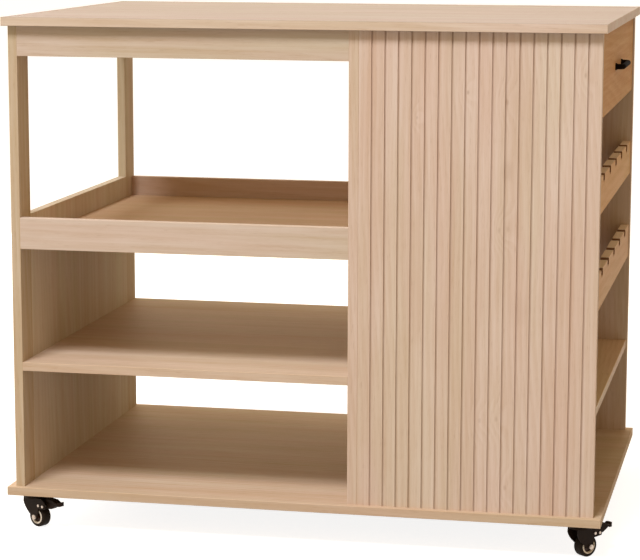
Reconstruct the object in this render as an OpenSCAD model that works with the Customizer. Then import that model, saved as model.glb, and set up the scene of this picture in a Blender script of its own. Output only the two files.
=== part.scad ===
// Kitchen cart: open bays with a tray on the left, a fluted cabinet on the right with
// a drawer, two bottle racks and a shelf that open to the right end, on swivel casters.
// The origin is on the floor under the middle, +X to the right end, +Y to the back, +Z up.

/* [Body] */
// Width of the body over both ends
body_w = 1080; // [960:10:1200]
// Depth of the body, front to back
body_d = 735; // [680:5:800]
// Height from the base board to the worktop
body_h = 860; // [830:5:920]
// Thickness of the left end's posts, panel and rail
side_t = 17; // [15:0.5:20]
// Width of the left end's two posts
post_w = 60; // [50:1:80]
// Width of the cabinet from the divider to the right end
cabinet_w = 429; // [420:1:460]
// Thickness of the panel between the two bays
divider_t = 18; // [15:0.5:20]
// Edge easing on every board
edge_ease = 0.6; // [0.2:0.1:1]

/* [Worktop and base] */
// Thickness of the worktop
top_t = 16; // [14:1:22]
// Overhang of the worktop past each end
top_over_x = 8; // [0:1:12]
// Overhang of the worktop past the front and the back
top_over_y = 15; // [10:1:25]
// Thickness of the base board
base_t = 16; // [14:1:22]
// Overhang of the base board past each end
base_over_x = 14; // [10:1:24]
// Overhang of the base board past the front and the back
base_over_y = 10; // [5:1:20]

/* [Open bay] */
// Height of the aprons under the worktop
apron_h = 55; // [45:1:70]
// Thickness of the aprons and the tray rails
rail_t = 16; // [15:1:20]
// Height of the tray's rim over the base board
tray_z = 508; // [440:4:560]
// Height of the tray's front rail
tray_rail_h = 58; // [50:1:70]
// How much lower the tray's rear rail stands than the front one
tray_rear_drop = 4; // [0:1:10]
// Thickness of the tray's floor
tray_floor_t = 12; // [12:1:15]
// Height of the tray's floor over the underside of its rails
tray_floor_rise = 2; // [0:1:8]
// Height of the left shelf's top over the base board
left_shelf_z = 237; // [180:2:300]
// Thickness of both shelves
shelf_t = 16; // [15:1:18]

/* [Fluted cabinet] */
// Thickness of the fluted front panel
fluted_t = 16; // [15:1:20]
// Thickness of the plain rear panel
rear_t = 16; // [15:1:20]
// Number of slats on the fluted panel
slat_n = 18; // [12:1:24]
// Width of a groove at the surface
groove_w = 3.4; // [2:0.2:5]
// Width of a groove at its floor
groove_floor_w = 2.2; // [1:0.2:2]
// Depth of a groove
groove_depth = 2.5; // [1:0.5:3]
// Gap between the fluted panel and the divider
panel_gap = 0.1; // [0.05:0.05:0.5]
// Distance of shelf, racks and drawer inside the right end
end_recess = 3; // [1:0.5:8]
// Height of the right shelf's top over the base board
right_shelf_z = 191; // [140:1:230]

/* [Bottle racks] */
// Height of the upper rack over the base board
upper_rack_z = 538; // [520:2:570]
// Height of the lower rack over the base board
lower_rack_z = 366; // [330:2:400]
// Height of an outer rack board
rack_h = 66; // [60:1:80]
// Height of an inner rack board
inner_rack_h = 56; // [50:1:58]
// Thickness of a rack board
rack_t = 16; // [15:1:18]
// Distance from an outer rack board to the inner one
rack_span = 250; // [200:5:280]
// Bottles on a rack
bottle_n = 5; // [3:1:5]
// Distance between bottles
bottle_pitch = 128; // [110:2:130]
// Width of the notch for a bottle's neck
notch_w = 30; // [26:1:36]
// Depth of that notch
notch_depth = 14; // [12:1:18]
// Corner radius at the floor of that notch
notch_r = 8; // [4:1:10]
// Radius of the rest for a bottle's body
bottle_r = 40; // [38:1:44]

/* [Drawer] */
// Height of the drawer's front
drawer_front_h = 148; // [138:1:156]
// Thickness of the drawer's front
drawer_front_t = 16; // [15:1:18]
// Gap round the drawer's front
drawer_gap = 2; // [1:0.5:3]
// Gap over the drawer's front
drawer_top_gap = 3; // [2:0.5:5]
// Space between the drawer's box and the divider
drawer_back_gap = 30; // [25:1:50]
// Height of the drawer's box
drawer_box_h = 100; // [90:1:108]
// Height of the box's underside over the front's underside
drawer_box_rise = 12; // [8:1:16]
// Thickness of the drawer's sides and back
drawer_side_t = 12; // [11:1:14]
// Thickness of the drawer's bottom
drawer_bottom_t = 5; // [3:1:6]
// Depth of the grooves that hold the drawer together
drawer_groove = 5; // [4:0.5:6]
// How far the drawer pulls out
drawer_travel = 260; // [200:5:270]

/* [Drawer handle] */
// Distance between the handle's feet
handle_span = 128; // [96:32:160]
// How far the handle stands out
handle_out = 19; // [19:1:24]
// Radius of the handle's bar
handle_r = 5; // [4:0.5:5.5]
// Bend radius at the handle's ends
handle_bend = 9; // [8:0.5:10]
// Radius of the handle's feet
foot_r = 6.5; // [6:0.5:9]
// Thickness of the handle's feet
foot_t = 2; // [1.5:0.5:4]

/* [Drawer slides] */
// Room for a slide on each side of the drawer
slide_gap = 13; // [12.8:0.1:13.6]
// Height of a slide
slide_h = 35; // [33:1:40]
// Length of a slide
slide_l = 350; // [330:5:355]
// Sheet thickness of a slide
slide_sheet = 1.2; // [1:0.1:1.4]
// Width of the cabinet member's flanges
outer_flange = 10.5; // [10:0.1:11]
// Width of the drawer member's flanges
inner_flange = 8.5; // [8:0.1:9]
// Radius of the slide's balls
ball_r = 1.6; // [1.4:0.1:1.8]
// Clearance between a ball and its track
ball_clear = 0.3; // [0.2:0.05:0.4]
// Balls in a row of a cage
ball_n = 6; // [4:1:8]

/* [Casters] */
// Height of a caster, floor to base board
caster_h = 65; // [63:1:72]
// Distance of a caster's swivel axis inside the base board's edges
caster_inset = 40; // [38:1:50]
// Width of the square top plate
plate_w = 46; // [46:1:50]
// Thickness of the top plate
plate_t = 2; // [1.5:0.5:3]
// Radius of a wheel
wheel_r = 20; // [19:0.5:21]
// Width of a wheel
wheel_w = 19; // [17:0.5:20]
// Distance of the axle behind the swivel axis
trail = 14; // [12:1:15]
// Radius of an axle
axle_r = 2.5; // [2:0.25:3]
// Radius of a kingpin
kingpin_r = 4; // [3:0.5:4.5]
// Thickness of a fork's legs
leg_t = 2; // [1.5:0.25:2.5]
// Length of the brake lever from the swivel axis
lever_reach = 75; // [72:1:78]
// Width of the brake lever's pedal
lever_w = 16; // [14:0.5:18]
// Width of the brake lever's middle, under the pedal
lever_core_w = 12; // [10:0.5:13]
// How far the brake lever turns down, in degrees
lever_turn = 9; // [6:1:9]

/* [Fasteners and fits] */
// Radius of a dowel
dowel_r = 4; // [3:0.5:4]
// Length of a dowel
dowel_l = 24; // [22:1:28]
// Depth of a dowel in a panel's face
dowel_in = 10; // [9:1:11]
// Radius of a base screw
base_screw_r = 3.5; // [3:0.25:3.5]
// Length of a base screw
base_screw_l = 50; // [45:5:60]
// Radius of a pan-head screw
pan_r = 2; // [1.75:0.25:2.25]
// Length of a pan-head screw under its head
pan_l = 12; // [10:1:12]
// Leg length of a top bracket
bracket_l = 20; // [18:1:22]
// Width of a top bracket
bracket_w = 18; // [16:1:24]
// Sheet thickness of a top bracket
bracket_t = 2; // [1.5:0.5:3]
// Radius of a cam lock
cam_r = 7.5; // [7:0.25:8]
// Height of a cam lock
cam_h = 12; // [11:0.5:12.5]
// Distance of a cam lock from the shelf's edge
cam_in = 24; // [20:1:30]
// Clearance round a fixed pin or screw
fit = 0.1; // [0.05:0.05:0.2]
// Clearance round a turning pin
turn_fit = 0.05; // [0.02:0.01:0.1]
// Gap between pieces that move past each other
run_gap = 0.3; // [0.3:0.1:0.5]

/* [Hidden] */
$fn = 48;

// Main planes
x_l = -body_w / 2;
x_r = body_w / 2;
y_f = -body_d / 2;
y_b = body_d / 2;
z0 = caster_h + base_t;
z_top = z0 + body_h;
bay_x0 = x_l + side_t;
cab_x0 = x_r - cabinet_w;
bay_x1 = cab_x0 - divider_t;
left_bay_w = bay_x1 - bay_x0;
cab_y0 = y_f + fluted_t;
cab_y1 = y_b - rear_t;
end_x = x_r - end_recess;

// Colours
oak = [0.83, 0.70, 0.55];
oak_dark = [0.74, 0.58, 0.42];
steel = [0.72, 0.73, 0.74];
black = [0.09, 0.08, 0.08];
beige = [0.80, 0.66, 0.48];

// Levels in the open bay
tray_under = z0 + tray_z - tray_rail_h;
tray_floor_z = tray_under + tray_floor_rise;
left_shelf_under = z0 + left_shelf_z - shelf_t;
right_shelf_under = z0 + right_shelf_z - shelf_t;
apron_z = z_top - apron_h;

// Dowel places: a dowel's middle lies this far on the rail's side of the joint
dowel_end = 0.5;
dowel_shift = dowel_l / 2 - dowel_in;
bay_ends = [[bay_x0, 1], [bay_x1, -1]];
rail_ys = [y_f + rail_t / 2, y_b - rail_t / 2];
apron_dowels = [for (e = bay_ends) for (y = rail_ys) for (s = [0.28, 0.72])
    [e[0] + e[1] * dowel_shift, y, apron_z + s * apron_h]];
tray_dowels = [for (e = bay_ends) for (y = rail_ys) for (s = [0.25, 0.75])
    [e[0] + e[1] * dowel_shift, y, tray_under + s * (tray_rail_h - tray_rear_drop)]];
floor_ends = [[y_f + rail_t, 1], [y_b - rail_t, -1]];
floor_dowels = [for (e = floor_ends) for (s = [0.15, 0.5, 0.85])
    [bay_x0 + s * left_bay_w, e[0] + e[1] * dowel_shift, tray_floor_z + tray_floor_t / 2]];
post_ends = [[y_f + post_w, 1], [y_b - post_w, -1]];
end_rail_dowels = [for (e = post_ends) for (s = [0.28, 0.72])
    [x_l + side_t / 2, e[0] + e[1] * dowel_shift, apron_z + s * apron_h]];
end_panel_dowels = [for (e = post_ends) for (s = [0.15, 0.5, 0.85])
    [x_l + side_t / 2, e[0] + e[1] * dowel_shift, z0 + s * tray_z]];
cab_ends = [[cab_y0, 1], [cab_y1, -1]];
outer_rack_x = end_x - rack_t;
inner_rack_x = outer_rack_x - rack_span;
rack_levels = [upper_rack_z, lower_rack_z];
rack_dowels = [for (e = cab_ends) for (r = rack_levels) for (x = [outer_rack_x, inner_rack_x])
    for (s = [0.3, 0.7])
    [x + rack_t / 2, e[0] + e[1] * dowel_shift, z0 + r + s * inner_rack_h]];

// Cam places: shelf-side middle of the cam, and the axis of its bolt
cam_bolt_r = 3.25;
cam_slot_r = 3.6;
cam_bolt_in = 11;
cam_slot_past = 3;
bolt_end = 1;
shelf_xs = [[bay_x0, 1], [bay_x1, -1]];
left_cams = [for (e = shelf_xs) for (y = [y_f + post_w / 2, y_b - post_w / 2])
    [e[0] + e[1] * cam_in, y, -e[1]]];
right_cam_in = 60;
right_cams = [for (e = cab_ends) for (x = [cab_x0 + right_cam_in, end_x - right_cam_in])
    [x, e[0] + e[1] * cam_in, -e[1]]];

// Base screw places
fluted_screw_y = y_f + groove_depth + (fluted_t - groove_depth) / 2;
base_screws_at = concat(
    [for (s = [-1, 1]) [x_l + side_t / 2, s * (body_d - post_w) / 2]],
    [for (s = [-0.25, 0.25]) [x_l + side_t / 2, s * body_d]],
    [for (s = [-0.4, 0, 0.4]) [bay_x1 + divider_t / 2, s * body_d]],
    [for (s = [0.25, 0.75]) [cab_x0 + s * (x_r - cab_x0), fluted_screw_y]],
    [for (s = [0.25, 0.75]) [cab_x0 + s * (x_r - cab_x0), y_b - rear_t / 2]]);
base_head_r = 5.5;
base_head_t = 3;

// Top bracket places: face of the board, side on which the bracket lies
bracket_in = 100;
bay_brackets = [for (x = [bay_x0 + bracket_in, bay_x1 - bracket_in])
    for (f = [[y_f + rail_t, 1], [y_b - rail_t, -1]]) [x, f[0], f[1]]];
cab_brackets = [for (x = [cab_x0 + bracket_in, x_r - bracket_in])
    for (f = cab_ends) [x, f[0], f[1]]];
brackets = concat(bay_brackets, cab_brackets);
bracket_hole = bracket_l * 0.6;

// Drawer planes
drawer_x1 = end_x;
drawer_x0 = end_x - drawer_front_t;
drawer_l = drawer_x0 - cab_x0 - drawer_back_gap;
box_x0 = drawer_x0 - drawer_l;
drawer_z1 = z_top - drawer_top_gap;
drawer_z0 = drawer_z1 - drawer_front_h;
box_z0 = drawer_z0 + drawer_box_rise;
box_y0 = cab_y0 + slide_gap;
box_y1 = cab_y1 - slide_gap;
bottom_up = 8;
slide_z = box_z0 + drawer_box_h / 2;
slide_x0 = drawer_x0 - slide_l - 2;
handle_z = (drawer_z0 + drawer_z1) / 2;
handle_screw_r = 2;
handle_screw_in = 8;
screw_head_r = 4;
screw_head_t = 1.8;
low_head_r = 3.5;
low_head_t = 1;
slide_screw_at = [0.1, 0.5, 0.9];

// Slide section: a ball runs between the cabinet member's and the drawer member's flanges
ball_z = slide_h / 2 - slide_sheet - ball_clear - ball_r;
inner_h = 2 * (ball_z - ball_r - ball_clear);
ball_y = (slide_gap - inner_flange + outer_flange) / 2;
cage_t = 0.8;
cage_web_y = slide_gap - inner_flange - run_gap - cage_t;
cage_x0 = slide_x0 + 12;
// The cage runs half as far as the drawer and leaves some track free at both ends
cage_free = 50;
cage_l = slide_l - drawer_travel / 2 - cage_free;
cage_reach = ball_y + ball_r - cage_web_y;
slides = [[cab_y0, 1], [cab_y1, -1]];

// Caster sections, from the floor up
crown_r = 20;
crown_t = 4.2;
race_r = 17;
race_t = 4;
race_z = caster_h - plate_t - race_t;
crown_z1 = race_z - run_gap;
crown_z0 = crown_z1 - crown_t;
leg_clear = 2.6;
leg_y = wheel_w / 2 + leg_clear;
hub_boss_y = leg_y - 0.4;
boss_r = 6.5;
kingpin_head_r = 7;
kingpin_head_t = 3.2;
plate_hole = plate_w / 2 - 7;
pin_r = 1.5;
pin_head_r = 2.5;
pin_head_t = 1.6;
pivot = [trail + 10.5, wheel_r + 23.5];
stop = pivot + [11, -0.5];
lever_r = 3;
pad_gap = 2.2;
pad_r = wheel_r + pad_gap;
tyre_in = 14;
hub_r = tyre_in - turn_fit;
hub_lip = 2.4;
hub_draft = 1.6;
lip_side = 0.6;
hub_web = 4.5;
hub_boss_r = 5;
nut_r = 4.5;
nut_t = 4.4;
// Place of each caster and the way its brake lever points
casters = [
    [[-1, -1], -28],
    [[1, -1], 47],
    [[-1, 1], 227],
    [[1, 1], 152]
];
caster_x = body_w / 2 + base_over_x - caster_inset;
caster_y = body_d / 2 + base_over_y - caster_inset;

// Outlines
function eased(w, h) = [
    [edge_ease, 0], [w - edge_ease, 0], [w, edge_ease], [w, h - edge_ease],
    [w - edge_ease, h], [edge_ease, h], [0, h - edge_ease], [0, edge_ease]
];
function arc(c, r, a0, a1, n) = [for (i = [0:n])
    let (a = a0 + (a1 - a0) * i / n) c + r * [cos(a), sin(a)]];
// Angle at which a line from point p touches the circle round c; side is 1 or -1
function touch(p, c, r, side) = let (d = p - c)
    atan2(d[1], d[0]) + side * acos(r / norm(d));

// A board from corner a to corner b, with eased edges along its grain
module board(a, b, grain) {
    d = b - a;
    translate(a)
        if (grain == "x") {
            rotate([90, 0, 90]) linear_extrude(d[0]) polygon(eased(d[1], d[2]));
        } else if (grain == "y") {
            translate([0, d[1], 0]) rotate([90, 0, 0])
                linear_extrude(d[1]) polygon(eased(d[0], d[2]));
        } else {
            linear_extrude(d[2]) polygon(eased(d[0], d[1]));
        }
}

// Round pegs of radius r and length l at each place, along one axis
module pegs(places, axis, r, l) {
    turn = axis == "x" ? [0, 90, 0] : axis == "y" ? [-90, 0, 0] : [0, 0, 0];
    for (p = places) translate(p) rotate(turn) cylinder(r = r, h = l, center = true);
}

module dowel_bores(places, axis) {
    pegs(places, axis, dowel_r + fit, dowel_l + 2 * dowel_end);
}

// Base screws and the countersunk holes they sit in
module base_screw_shape(extra) {
    cylinder(r1 = base_head_r + extra, r2 = base_screw_r + extra, h = base_head_t);
    cylinder(r = base_screw_r + extra, h = base_screw_l + 5 * extra);
}

module base_screw_bores() {
    for (p = base_screws_at) translate([p[0], p[1], caster_h]) base_screw_shape(fit);
}

// Pan-head screws stand on their head's underside and point along +Z
module pan_screw() {
    cylinder(r = pan_r, h = pan_l);
    translate([0, 0, -screw_head_t]) cylinder(r = screw_head_r, h = screw_head_t);
}

module pan_bore() {
    cylinder(r = pan_r + fit, h = pan_l + dowel_end);
}

// Children placed at each screw of the top brackets, pointing into the wood
module at_bracket_screws(up) {
    for (b = brackets) {
        if (up) {
            translate([b[0], b[1] + b[2] * bracket_hole, z_top - bracket_t]) children();
        } else {
            translate([b[0], b[1] + b[2] * bracket_t, z_top - bracket_hole])
                rotate([b[2] * 90, 0, 0]) children();
        }
    }
}

// Children placed at each screw that holds a slide's cabinet member, pointing into the panel
module at_slide_screws() {
    for (s = slides) for (u = slide_screw_at)
        translate([slide_x0 + u * slide_l, s[0] + s[1] * slide_sheet, slide_z])
            rotate([s[1] * 90, 0, 0]) children();
}

// Children placed at the four screws of each caster plate, pointing up
module at_plate_screws() {
    for (c = casters) for (i = [-1, 1]) for (j = [-1, 1])
        translate([c[0][0] * caster_x + i * plate_hole, c[0][1] * caster_y + j * plate_hole,
            caster_h - plate_t]) children();
}

// Bores for the cams and their bolts, in a shelf and in what carries it
module cam_bolt_bores(cams, axis, under) {
    along = axis == "x" ? [1, 0, 0] : [0, 1, 0];
    reach = cam_in + cam_bolt_in + bolt_end + cam_slot_past;
    for (c = cams)
        pegs([[c[0], c[1], under + shelf_t / 2]
            + c[2] * (reach / 2 - cam_slot_past) * along], axis, cam_slot_r, reach);
}

module cam_bores(cams, under) {
    for (c = cams) translate([c[0], c[1], under - 1])
        cylinder(r = cam_r + fit, h = cam_h + 1 + dowel_end);
}

module worktop() {
    color(oak)
    difference() {
        board([x_l - top_over_x, y_f - top_over_y, z_top],
            [x_r + top_over_x, y_b + top_over_y, z_top + top_t], "x");
        at_bracket_screws(true) pan_bore();
    }
}

module base_board() {
    color(oak)
    difference() {
        board([x_l - base_over_x, y_f - base_over_y, caster_h],
            [x_r + base_over_x, y_b + base_over_y, z0], "x");
        base_screw_bores();
        at_plate_screws() pan_bore();
    }
}

// A post of the left end, from y0 to y1
module end_post(y0, y1) {
    color(oak)
    difference() {
        board([x_l, y0, z0], [bay_x0, y1, z_top], "z");
        dowel_bores(apron_dowels, "x");
        dowel_bores(tray_dowels, "x");
        dowel_bores(end_rail_dowels, "y");
        dowel_bores(end_panel_dowels, "y");
        base_screw_bores();
        cam_bolt_bores(left_cams, "x", left_shelf_under);
    }
}

module left_side_panel() {
    color(oak)
    difference() {
        board([x_l, y_f + post_w, z0], [bay_x0, y_b - post_w, z0 + tray_z], "z");
        dowel_bores(end_panel_dowels, "y");
        base_screw_bores();
    }
}

module left_top_rail() {
    color(oak)
    difference() {
        board([x_l, y_f + post_w, apron_z], [bay_x0, y_b - post_w, z_top], "y");
        dowel_bores(end_rail_dowels, "y");
    }
}

// An apron under the worktop, from y0 to y1
module apron(y0, y1) {
    color(oak)
    difference() {
        board([bay_x0, y0, apron_z], [bay_x1, y1, z_top], "x");
        dowel_bores(apron_dowels, "x");
        at_bracket_screws(false) pan_bore();
    }
}

// A rail of the tray, from y0 to y1, of height h
module tray_rail(y0, y1, h) {
    color(oak)
    difference() {
        board([bay_x0, y0, tray_under], [bay_x1, y1, tray_under + h], "x");
        dowel_bores(tray_dowels, "x");
        dowel_bores(floor_dowels, "y");
    }
}

module tray_floor() {
    color(oak)
    difference() {
        board([bay_x0, y_f + rail_t, tray_floor_z],
            [bay_x1, y_b - rail_t, tray_floor_z + tray_floor_t], "x");
        dowel_bores(floor_dowels, "y");
    }
}

module left_shelf() {
    color(oak)
    difference() {
        board([bay_x0, y_f, left_shelf_under], [bay_x1, y_b, z0 + left_shelf_z], "x");
        cam_bores(left_cams, left_shelf_under);
        cam_bolt_bores(left_cams, "x", left_shelf_under);
    }
}

module divider_panel() {
    color(oak)
    difference() {
        board([bay_x1, y_f, z0], [cab_x0, y_b, z_top], "z");
        dowel_bores(apron_dowels, "x");
        dowel_bores(tray_dowels, "x");
        base_screw_bores();
        cam_bolt_bores(left_cams, "x", left_shelf_under);
    }
}

// The fluted panel: tapered grooves cut down a plain board
module fluted_front_panel() {
    w = x_r - cab_x0 - panel_gap;
    pitch = w / slat_n;
    color(oak)
    difference() {
        board([cab_x0 + panel_gap, y_f, z0], [x_r, cab_y0, z_top], "z");
        for (i = [1:slat_n - 1])
            translate([cab_x0 + panel_gap + i * pitch, y_f, z0 - 1])
                linear_extrude(body_h + 2)
                    polygon([[-groove_w / 2, -1], [groove_w / 2, -1], [groove_w / 2, 0],
                        [groove_floor_w / 2, groove_depth],
                        [-groove_floor_w / 2, groove_depth], [-groove_w / 2, 0]]);
        dowel_bores(rack_dowels, "y");
        base_screw_bores();
        cam_bolt_bores(right_cams, "y", right_shelf_under);
        at_bracket_screws(false) pan_bore();
        at_slide_screws() pan_bore();
    }
}

module rear_panel() {
    color(oak)
    difference() {
        board([cab_x0, cab_y1, z0], [x_r, y_b, z_top], "z");
        dowel_bores(rack_dowels, "y");
        base_screw_bores();
        cam_bolt_bores(right_cams, "y", right_shelf_under);
        at_bracket_screws(false) pan_bore();
        at_slide_screws() pan_bore();
    }
}

module right_shelf() {
    color(oak)
    difference() {
        board([cab_x0, cab_y0, right_shelf_under],
            [end_x, cab_y1, z0 + right_shelf_z], "y");
        cam_bores(right_cams, right_shelf_under);
        cam_bolt_bores(right_cams, "y", right_shelf_under);
    }
}

// Outline of a notch with rounded corners, its floor at 0
module notch_outline() {
    translate([-notch_w / 2, notch_r]) square([notch_w, notch_depth]);
    translate([-notch_w / 2 + notch_r, 0]) square([notch_w - 2 * notch_r, notch_r]);
    for (s = [-1, 1]) translate([s * (notch_w / 2 - notch_r), notch_r]) circle(r = notch_r);
}

// Places of the bottles across the depth
bottle_ys = [for (i = [0:bottle_n - 1]) (i - (bottle_n - 1) / 2) * bottle_pitch];

// The notched board at the right end that holds the bottles' necks
module rack_outer(level) {
    color(oak)
    difference() {
        board([outer_rack_x, cab_y0, z0 + level], [end_x, cab_y1, z0 + level + rack_h], "y");
        for (y = bottle_ys)
            translate([outer_rack_x - 1, y, z0 + level + rack_h - notch_depth])
                rotate([90, 0, 90]) linear_extrude(rack_t + 2) notch_outline();
        dowel_bores(rack_dowels, "y");
    }
}

// The scalloped board inside that holds the bottles' bodies
module rack_inner(level) {
    axis_z = z0 + level + rack_h - notch_depth + notch_w / 2;
    color(oak)
    difference() {
        board([inner_rack_x, cab_y0, z0 + level],
            [inner_rack_x + rack_t, cab_y1, z0 + level + inner_rack_h], "y");
        for (y = bottle_ys)
            translate([inner_rack_x - 1, y, axis_z]) rotate([0, 90, 0])
                cylinder(r = bottle_r, h = rack_t + 2);
        dowel_bores(rack_dowels, "y");
    }
}

// The drawer's front, grooved behind for the sides and the bottom
module drawer_front() {
    color(oak)
    difference() {
        board([drawer_x0, cab_y0 + drawer_gap, drawer_z0],
            [drawer_x1, cab_y1 - drawer_gap, drawer_z1], "y");
        for (y = [box_y0 - fit, box_y1 - drawer_side_t - fit])
            translate([drawer_x0 - 1, y, box_z0 - fit])
                cube([drawer_groove + 1 + fit, drawer_side_t + 2 * fit,
                    drawer_box_h + 2 * fit]);
        translate([drawer_x0 - 1, box_y0 + drawer_side_t - drawer_groove,
            box_z0 + bottom_up - fit])
            cube([drawer_groove + 1 + fit, box_y1 - box_y0 - 2 * (drawer_side_t - drawer_groove),
                drawer_bottom_t + 2 * fit]);
        for (s = [-1, 1]) translate([drawer_x0 - 1, s * handle_span / 2, handle_z])
            rotate([0, 90, 0]) cylinder(r = handle_screw_r + fit, h = drawer_front_t + 2);
    }
}

// A side of the drawer's box; y0 is its lower face, inner is 1 if the box lies on its +Y side
module drawer_side(y0, inner) {
    groove_y = inner > 0 ? y0 + drawer_side_t - drawer_groove : y0;
    color(oak_dark)
    difference() {
        board([box_x0, y0, box_z0],
            [drawer_x0 + drawer_groove, y0 + drawer_side_t, box_z0 + drawer_box_h], "x");
        translate([box_x0 - 1, groove_y - (inner > 0 ? fit : 1), box_z0 + bottom_up - fit])
            cube([drawer_l + drawer_groove + 2, drawer_groove + fit + 1,
                drawer_bottom_t + 2 * fit]);
        translate([box_x0 + drawer_side_t - fit, groove_y - (inner > 0 ? fit : 1),
            box_z0 + bottom_up])
            cube([drawer_side_t + 2 * fit, drawer_groove + fit + 1, drawer_box_h]);
        for (u = slide_screw_at)
            translate([slide_x0 + u * slide_l, inner > 0 ? y0 : y0 + drawer_side_t, slide_z])
                rotate([-inner * 90, 0, 0])
                    cylinder(r = pan_r + fit, h = pan_l - slide_sheet);
    }
}

module drawer_back() {
    color(oak_dark)
    board([box_x0 + drawer_side_t, box_y0 + drawer_side_t - drawer_groove,
        box_z0 + bottom_up + drawer_bottom_t + fit],
        [box_x0 + 2 * drawer_side_t, box_y1 - drawer_side_t + drawer_groove,
        box_z0 + drawer_box_h], "y");
}

module drawer_bottom() {
    inset = drawer_side_t - drawer_groove + fit;
    color(oak_dark)
    translate([box_x0 + fit, box_y0 + inset, box_z0 + bottom_up])
        cube([drawer_l + drawer_groove - fit, box_y1 - box_y0 - 2 * inset, drawer_bottom_t]);
}

// The bow handle: two flared feet, two bends and a bar
module drawer_handle() {
    bar_x = end_x + handle_out - handle_r;
    color(black)
    difference() {
        union() {
            for (s = [-1, 1]) {
                translate([end_x, s * handle_span / 2, handle_z]) rotate([0, 90, 0]) {
                    cylinder(r = foot_r, h = foot_t);
                    translate([0, 0, foot_t]) cylinder(r1 = foot_r, r2 = handle_r, h = foot_t);
                    cylinder(r = handle_r, h = handle_out - handle_r - handle_bend);
                }
                translate([bar_x - handle_bend, s * (handle_span / 2 - handle_bend), handle_z])
                    mirror([0, s < 0 ? 1 : 0, 0]) rotate_extrude(angle = 90)
                        translate([handle_bend, 0]) circle(r = handle_r);
            }
            translate([bar_x, 0, handle_z]) rotate([90, 0, 0])
                cylinder(r = handle_r, h = handle_span - 2 * handle_bend, center = true);
        }
        for (s = [-1, 1]) translate([end_x - 1, s * handle_span / 2, handle_z])
            rotate([0, 90, 0])
                cylinder(r = handle_screw_r + fit, h = handle_screw_in + 1 + dowel_end);
    }
}

module drawer_handle_screws() {
    color(steel)
    for (s = [-1, 1]) translate([drawer_x0, s * handle_span / 2, handle_z])
        rotate([0, 90, 0]) {
            cylinder(r = handle_screw_r, h = drawer_front_t + handle_screw_in);
            translate([0, 0, -screw_head_t]) cylinder(r = screw_head_r, h = screw_head_t);
        }
}

// Section of a slide member: a web with two flanges, its web's outer face at 0
module channel(h, flange) {
    translate([0, -h / 2]) square([slide_sheet, h]);
    for (s = [-1, 1]) translate([0, s * (h - slide_sheet) / 2 - slide_sheet / 2])
        square([flange, slide_sheet]);
}

// Runs a slide section along +X from x0, from the panel's face at slide s towards the drawer
module run_slide(s, x0, l) {
    translate([x0, s[0], slide_z]) mirror([0, s[1] < 0 ? 1 : 0, 0])
        rotate([90, 0, 90]) linear_extrude(l) children();
}

module slide_cabinet_members() {
    color(steel)
    difference() {
        for (s = slides) run_slide(s, slide_x0, slide_l) channel(slide_h, outer_flange);
        at_slide_screws() translate([0, 0, -2]) cylinder(r = pan_r + fit, h = 4);
    }
}

module slide_drawer_members() {
    color(steel)
    difference() {
        for (s = slides) run_slide([s[0] + s[1] * slide_gap, -s[1]], slide_x0, slide_l)
            channel(inner_h, inner_flange);
        for (s = slides) for (u = slide_screw_at)
            translate([slide_x0 + u * slide_l, s[0] + s[1] * slide_gap, slide_z])
                rotate([90, 0, 0]) cylinder(r = pan_r + fit, h = 4 * slide_sheet, center = true);
    }
}

// Places of the balls on one slide
function ball_places(s) = [for (i = [0:ball_n - 1]) for (side = [-1, 1])
    [cage_x0 + (i + 0.5) * cage_l / ball_n, s[0] + s[1] * ball_y, slide_z + side * ball_z]];

module slide_ball_cages() {
    color(steel)
    difference() {
        for (s = slides) run_slide([s[0] + s[1] * cage_web_y, s[1]], cage_x0, cage_l) {
            translate([0, -ball_z - cage_t / 2]) square([cage_t, 2 * ball_z + cage_t]);
            for (side = [-1, 1]) translate([0, side * ball_z - cage_t / 2])
                square([cage_reach, cage_t]);
        }
        for (s = slides)
            pegs(ball_places(s), "z", ball_r + fit, 4 * cage_t);
    }
}

module slide_balls() {
    color(steel)
    for (s = slides) for (p = ball_places(s)) translate(p) sphere(r = ball_r);
}

module slide_drawer_screws() {
    color(steel)
    for (s = slides) for (u = slide_screw_at)
        translate([slide_x0 + u * slide_l, s[0] + s[1] * (slide_gap - slide_sheet), slide_z])
            rotate([-s[1] * 90, 0, 0]) {
                cylinder(r = pan_r, h = pan_l - slide_sheet);
                translate([0, 0, -low_head_t]) cylinder(r = low_head_r, h = low_head_t);
            }
}

module dowels() {
    color(oak_dark) {
        pegs(apron_dowels, "x", dowel_r, dowel_l);
        pegs(tray_dowels, "x", dowel_r, dowel_l);
        pegs(floor_dowels, "y", dowel_r, dowel_l);
        pegs(end_rail_dowels, "y", dowel_r, dowel_l);
        pegs(end_panel_dowels, "y", dowel_r, dowel_l);
        pegs(rack_dowels, "y", dowel_r, dowel_l);
    }
}

// One cam: a short drum with a slot for its bolt and a cross slot for the screwdriver
module cam(axis, side) {
    turn = axis == "x" ? (side > 0 ? 0 : 180) : (side > 0 ? 90 : -90);
    rotate([0, 0, turn])
    difference() {
        cylinder(r = cam_r, h = cam_h);
        translate([-cam_slot_past + fit, 0, shelf_t / 2]) rotate([0, 90, 0])
            cylinder(r = cam_slot_r, h = 2 * cam_r);
        for (a = [0, 90]) rotate([0, 0, a]) translate([-cam_r * 0.6, -0.6, -1])
            cube([cam_r * 1.2, 1.2, 2.5]);
    }
}

module cam_locks() {
    color(steel) {
        for (c = left_cams) translate([c[0], c[1], left_shelf_under]) cam("x", c[2]);
        for (c = right_cams) translate([c[0], c[1], right_shelf_under]) cam("y", c[2]);
    }
}

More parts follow.
